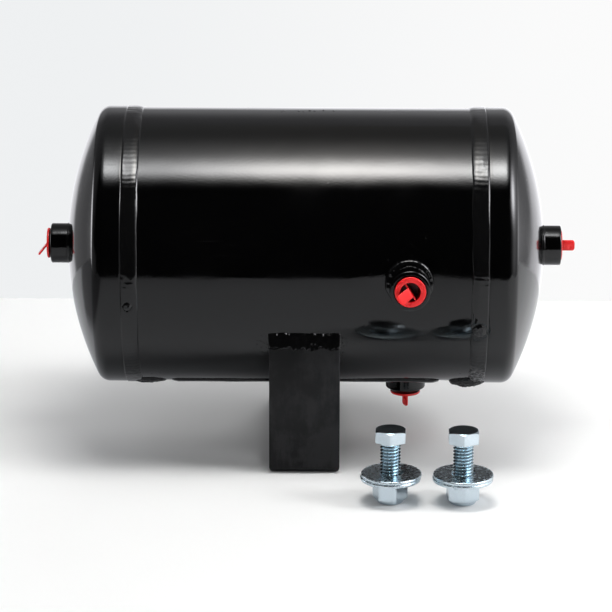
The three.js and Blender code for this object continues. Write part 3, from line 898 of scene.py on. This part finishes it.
def bolt(tag, turn):
    """A hexagon bolt standing head up. The shank is its own mesh, centred on its axis for its material."""
    node = f"bolt_{tag}"
    lo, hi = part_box(node)
    c = middle(node)
    start, head_low = lo[2], hi[2] - HEAD_HEIGHT
    rows = thread(BOLT_R, BOLT_DEPTH, start + 1.0 * MM, head_low - 0.6 * MM, BOLT_PITCH, 16)
    foot = lathe([(BOLT_R - 1.3 * MM, start), (BOLT_R - 0.15 * MM, start + 0.95 * MM)], 96)
    neck = lathe([(BOLT_R - 0.1 * MM, head_low - 0.55 * MM), (BOLT_R, head_low + 0.2 * MM)], 96)
    rows = np.concatenate([foot, rows, neck])
    rows = np.stack([rows[..., 2], rows[..., 0], rows[..., 1]], -1)
    shank = Build().grid(rows).cap(rows[0]).cap(rows[-1]).object(f"{node}_thread", sharp=28)
    shank.location = (c.x, c.y, 0)
    piece(shank, node, "zinc", ZINC_THREAD, node)
    b = Build()
    washer_face = [(BOLT_R, head_low + 0.3 * MM), (BOLT_R, head_low), (HEAD_FACE_R, head_low)]
    b.grid(lathe(washer_face + [(HEAD_FACE_R + 0.15 * MM, head_low + 0.35 * MM)], 96, "Z"))
    hexagon(b, BOLT_FLATS, head_low + 0.3 * MM, hi[2], turn, chamfer_low=False)
    obj = b.object(f"{node}_head", sharp=28)
    piece(stand(obj, c), node, "zinc", ZINC, node)


def lock_nut(tag, turn):
    """A lock nut standing collar down: a chamfered hexagon over a rounded collar with a seat for its ring."""
    node = f"lock_nut_{tag}"
    lo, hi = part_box(node)
    c = middle(f"bolt_{tag}")
    b = Build()
    r, bore, seat, collar = COLLAR_R, NUT_BORE_R, NUT_BORE_R + 0.7 * MM, COLLAR
    hexagon(b, NUT_FLATS, lo[2] + collar, hi[2], turn, bore=bore)
    z = lo[2]
    profile = [(bore, z + 3.4 * MM), (seat, z + 3.4 * MM), (seat, z + 0.8 * MM)]
    profile += [(bore + 0.1 * MM, z + 0.75 * MM), (bore, z + 0.4 * MM)]
    profile += [(bore + 0.3 * MM, z)] + arc(r - 1.1 * MM, z + 1.1 * MM, 1.1 * MM, -90, 0, 8)
    profile += [(r, z + collar - 0.5 * MM), (r + 0.25 * MM, z + collar + 0.1 * MM)]
    profile += [(r + 0.2 * MM, z + collar + 0.6 * MM), (bore, z + collar + 0.6 * MM)]
    b.grid(lathe(profile, 120, "Z"), wrap_rows=True)
    obj = b.object(f"{node}_flanged", sharp=28)
    piece(stand(obj, c), f"nut_{tag}", "zinc", ZINC, node)


def nylon_ring(tag):
    node = f"nylon_insert_{tag}"
    lo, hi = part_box(node)
    out, bore, e = extent(node).x / 2, NUT_BORE_R, 0.2 * MM
    loop = arc(out - e, lo[2] + e, e, -90, 0, 3) + arc(out - e, hi[2] - e, e, 0, 90, 3)
    loop += arc(bore + e, hi[2] - e, e, 90, 180, 3) + arc(bore + e, lo[2] + e, e, 180, 270, 3)
    obj = Build().grid(lathe(loop, 96, "Z"), wrap_rows=True).object(f"{node}_ring", sharp=40)
    piece(stand(obj, middle(f"bolt_{tag}")), f"nut_{tag}", "nylon", NYLON, node)


def washer(level, tag, seed):
    """A pressed washer, its outline a little uneven."""
    node = f"washer_{level}_{tag}"
    lo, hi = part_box(node)
    c, r = middle(node), extent(node).x / 2
    hole, e = WASHER_HOLE_R, WASHER_EDGE

    def ring(z0, z1):
        out = arc(r - e, z0 + e, e, -90, 0, 4) + arc(r - e, z1 - e, e, 0, 90, 4)
        out += [(r - e - (r - hole - 2 * e) * k / 10, z1) for k in range(1, 10)]
        out += arc(hole + e * 0.6, z1 - e * 0.6, e * 0.6, 90, 180, 3) + arc(hole + e, z0 + e, e, 180, 270, 3)
        out += [(hole + e + (r - hole - 2 * e) * k / 10, z0) for k in range(1, 10)]
        return out
    rows = lathe(ring(lo[2], hi[2]), 144, "Z")
    wob = ripple(rows, 90.0, seed, 2)
    scale = 1 + 0.006 * wob
    rows[..., 0] *= scale
    rows[..., 1] *= scale
    obj = Build().grid(rows, wrap_rows=True).object(f"{node}_pressed", sharp=40)
    piece(stand(obj, c), f"{level}_washer_{tag}", "zinc", ZINC_WORN[tag], node)


# ---- Set -------------------------------------------------

def floor():
    """A pale sheet. In reflections it is painted darker, as shade, most of all towards its front edge, and
    darkest in a zone at its far left.
    """
    xs, ys = np.linspace(-0.6, 0.6, 24), np.linspace(-0.56, 0.27, 24)
    obj = Build().grid([[(x, y, 0.0) for x in xs] for y in ys], wrap_cols=False).object("floor")
    m, t, shader = material("pale_floor", **{"Roughness": 0.75, "Specular IOR Level": 0.2})
    at = t.position()
    cloud = t.mix(t.noise(at, 6.0, 2.0), (0.915, 0.915, 0.91), (0.94, 0.94, 0.935))
    across, along_y, _ = t.add("ShaderNodeSeparateXYZ", {0: at}).outputs
    # painted shade: the colour that reflections see is darker than the sheet, darkest at the front edge and
    # at the far left
    far = t.remap(along_y, -0.5, -0.1, smooth=False)
    reflection_shade = t.mix(far, (0.5, 0.505, 0.52), (0.62, 0.63, 0.65))
    reflection_shade = t.mix(t.remap(across, 0.05, 0.25), reflection_shade, (0.85, 0.855, 0.87))
    beyond = t.plus(across, t.times(along_y, 1.1))
    left = t.times(t.remap(beyond, -0.087, -0.113), t.remap(across, -0.2, -0.27))
    reflection_shade = t.mix(left, reflection_shade, (0.2, 0.2, 0.21))
    glossy = t.add("ShaderNodeLightPath").outputs["Is Glossy Ray"]
    link(t, t.mix(glossy, cloud, reflection_shade), shader, "Base Color")
    obj.data.materials.append(m)


def bell(t, value, centre, low, high):
    """1 at the centre, falling away with one width below it and another above."""
    d = t.math("SUBTRACT", value, centre)
    side = t.math("GREATER_THAN", d, 0.0)
    width = t.plus(low, t.times(side, high - low))
    q = t.math("DIVIDE", d, width)
    return t.math("POWER", math.e, t.times(t.times(q, q), -0.5))


# The softbox's brightest spot, and a soft lamp beyond it for each other highlight that the gloss reflects:
# angle from the back, height, side, spread and strength
LAMP_X, LAMP_Y = 0.03, -0.157
LAMPS = ((108, 39, 1, 10.0, 15.0), (90, 28, 1, 15.0, 2.0), (64, -3, 1, 9.0, 2.0), (116, 4, 1, 14.0, 1.0),
         (62, 2, -1, 5.5, 6.0), (62, -7, -1, 5.0, 4.0))


def softbox():
    """The overhead lamp: a diffuser with a bright middle that trails off towards the back."""
    corners = [[(x, y, 0.72) for x in (-0.4, 0.4)] for y in (0.5, -0.45)]
    obj = Build().grid(corners, wrap_cols=False).object("softbox")
    m = bpy.data.materials.new("softbox_glow")
    m.use_nodes = True
    t = Nodes(m.node_tree)
    x, y, _ = t.add("ShaderNodeSeparateXYZ", {0: t.position()}).outputs
    across = bell(t, x, LAMP_X, 0.095, 0.085)
    ends = t.plus(bell(t, x, -0.15, 0.015, 0.015), bell(t, x, 0.14, 0.015, 0.015))
    lit = t.plus(across, t.times(ends, 0.55))
    core = t.times(t.times(bell(t, y, LAMP_Y, 0.056, 0.062), lit), 16.0)
    trail = t.times(bell(t, y, LAMP_Y, 0.056, 0.14), bell(t, x, LAMP_X, 0.16, 0.15))
    skirt = t.times(trail, 4.5)
    warm = t.mix(across, (0.96, 0.98, 1.0), (1.0, 0.985, 0.955))
    ceiling = t.remap(y, -0.02, 0.14, 0.0, 0.22)
    power = t.plus(t.plus(core, skirt), ceiling)
    lamp = t.add("ShaderNodeEmission", {"Color": warm, "Strength": power})
    t.output("ShaderNodeOutputMaterial", lamp.outputs[0])
    obj.data.materials.append(m)
    obj.visible_camera = False


def fill_light(name, place, aim, size, watts):
    data = bpy.data.lights.new(name, "AREA")
    data.shape, data.size, data.energy = "DISK", size, watts
    lamp = bpy.data.objects.new(name, data)
    lamp.location = place
    lamp.rotation_euler = (Vector(aim) - Vector(place)).to_track_quat("-Z", "Y").to_euler()
    lamp.visible_glossy = False
    bpy.context.scene.collection.objects.link(lamp)


def towards(back_angle, height, side):
    """The direction at an angle round from straight behind the tank, and a height above level, in degrees."""
    a, e = rad(back_angle), rad(height)
    return Vector((side * math.sin(a) * math.cos(e), math.cos(a) * math.cos(e), math.sin(e)))


def glow(t, way, centre, spread, strength):
    """A soft round patch of light in the world, spread in degrees."""
    dot = t.add("ShaderNodeVectorMath", {0: way, 1: centre}, operation="DOT_PRODUCT").outputs["Value"]
    fall = t.math("DIVIDE", t.math("SUBTRACT", dot, 1.0), rad(spread) ** 2)
    return t.times(t.math("POWER", math.e, fall), strength)


def studio():
    """What lights the room evenly, what the gloss reflects, and the white that the camera sees, painted
    greyer on the left as shade.

    The gloss reflects a dark room in front, a low white wall behind under a dim grey one, a softbox on the
    right and a narrow gap of light on the left."""
    world = bpy.data.worlds.new("studio")
    bpy.context.scene.world = world
    world.use_nodes = True
    t = Nodes(world.node_tree)
    way = t.add("ShaderNodeTexCoord").outputs["Generated"]
    x, y, z = t.add("ShaderNodeSeparateXYZ", {0: way}).outputs
    # 1 straight behind the tank, 0 level with its ends and -1 in front
    facing = t.math("DIVIDE", y, t.plus(t.distance(x, y), 0.001))
    on_right = t.remap(x, -0.1, 0.1)
    # the low white wall behind, whose top slants down towards the sides
    slant = t.remap(on_right, 0.0, 1.0, 3.2, 1.6, smooth=False)
    edge = t.plus(z, t.times(t.math("SUBTRACT", 1.0, facing), slant))
    low = t.times(t.remap(edge, 0.22, 0.05), t.remap(on_right, 0.0, 1.0, 0.7, 1.05, smooth=False))
    # the grey wall above it, brightest just over its middle
    dim = t.plus(t.remap(z, -0.1, 0.4, 0.08, 0.2), t.times(on_right, 0.09))
    glare = t.times(t.remap(z, 0.62, 0.28), t.remap(facing, 0.85, 0.97, 0.0, 0.2))
    dim = t.plus(dim, glare)
    # the dark room's floor, a little lighter than its walls
    skirting = t.times(t.remap(z, 0.08, -0.06, 0.0, 0.18), t.remap(facing, -0.7, -0.3))
    wall = t.plus(t.plus(t.times(dim, t.remap(facing, -0.4, 0.1)), low), skirting)
    total = t.plus(wall, 0.003)
    for back_angle, height, side, spread, strength in LAMPS:
        total = t.plus(total, glow(t, way, towards(back_angle, height, side), spread, strength))
    blue = t.times(total, 1.04)
    gloss = t.add("ShaderNodeCombineColor", {0: total, 1: total, 2: blue}).outputs[0]
    rays = t.add("ShaderNodeLightPath").outputs
    seen = t.mix(rays["Is Glossy Ray"], (0.46, 0.465, 0.475), gloss)
    # painted shade: the backdrop that the camera sees is greyer on the left than on the right
    backdrop_side_shade = t.mix(t.remap(x, -0.1, 0.1), (0.86, 0.875, 0.885), (0.965, 0.965, 0.965))
    colour = t.mix(rays["Is Camera Ray"], seen, backdrop_side_shade)
    back = t.add("ShaderNodeBackground", {"Color": colour, "Strength": 1.0})
    t.output("ShaderNodeOutputWorld", back.outputs[0])


def camera():
    focal, centre = 188.2, Vector((0, 0, AXIS_Z))
    azimuth, elevation, distance = rad(0.5), rad(15.5), 1.79
    data = bpy.data.cameras.new("camera")
    data.lens, data.sensor_width = focal, 36.0
    data.clip_start, data.clip_end = 0.1, 50
    cam = bpy.data.objects.new("camera", data)
    level = math.cos(elevation)
    out = Vector((math.sin(azimuth) * level, -math.cos(azimuth) * level, math.sin(elevation)))
    cam.location = centre + out * distance
    pitch, heading, roll = elevation + rad(1.11), azimuth - rad(0.005), rad(0.15)
    cam.rotation_mode = "QUATERNION"
    cam.rotation_quaternion = (Matrix.Rotation(heading, 4, "Z") @ Matrix.Rotation(math.pi / 2 - pitch, 4, "X")
                               @ Matrix.Rotation(roll, 4, "Z")).to_quaternion()
    bpy.context.scene.collection.objects.link(cam)
    bpy.context.scene.camera = cam


camera()
studio()
floor()
softbox()
fill_light("overhead_fill", (0.5, -0.1, 2.4), (0.1, 0.1, 0), 2.6, 4)
fill_light("back_fill", (0.15, 1.1, 0.8), (0.05, 0.3, 0), 0.8, 5)
fill_light("side_fill", towards(105, 38, 1) * 1.4, (0.05, 0, 0.03), 0.5, 7)
bpy.context.scene.view_settings.view_transform = "Standard"

shell()
head("head_left", -1)
head("head_right", 1)
girth_weld("girth_weld_left", -1, 3.0)
girth_weld("girth_weld_right", 1, 17.0)
seam_weld()
spatter()
for side, seed in (("left", 2.0), ("right", 5.0), ("front", 7.0), ("drain", 11.0)):
    bung(side)
    bung_weld(side, seed)
plug("left", 0.7 * MM, 0, -52, 8.9 * MM)
plug("right", -0.9 * MM, 90, 0, 8.1 * MM)
plug("front", 0.5 * MM, -58, 58, 9 * MM)
plug("drain", 2.0 * MM, 66, 0, 8.6 * MM)
foot_bracket()
bracket_weld("bracket_weld_front", -1, 1.0)
bracket_weld("bracket_weld_rear", 1, 6.0)
for tag, head_turn, nut_turn in (("a", -2.5, 19.5), ("b", 0.0, 6.0)):
    bolt(tag, head_turn)
    lock_nut(tag, nut_turn)
    nylon_ring(tag)
    washer("lower", tag, 1.0 if tag == "a" else 5.0)
    washer("upper", tag, 3.0 if tag == "a" else 8.0)
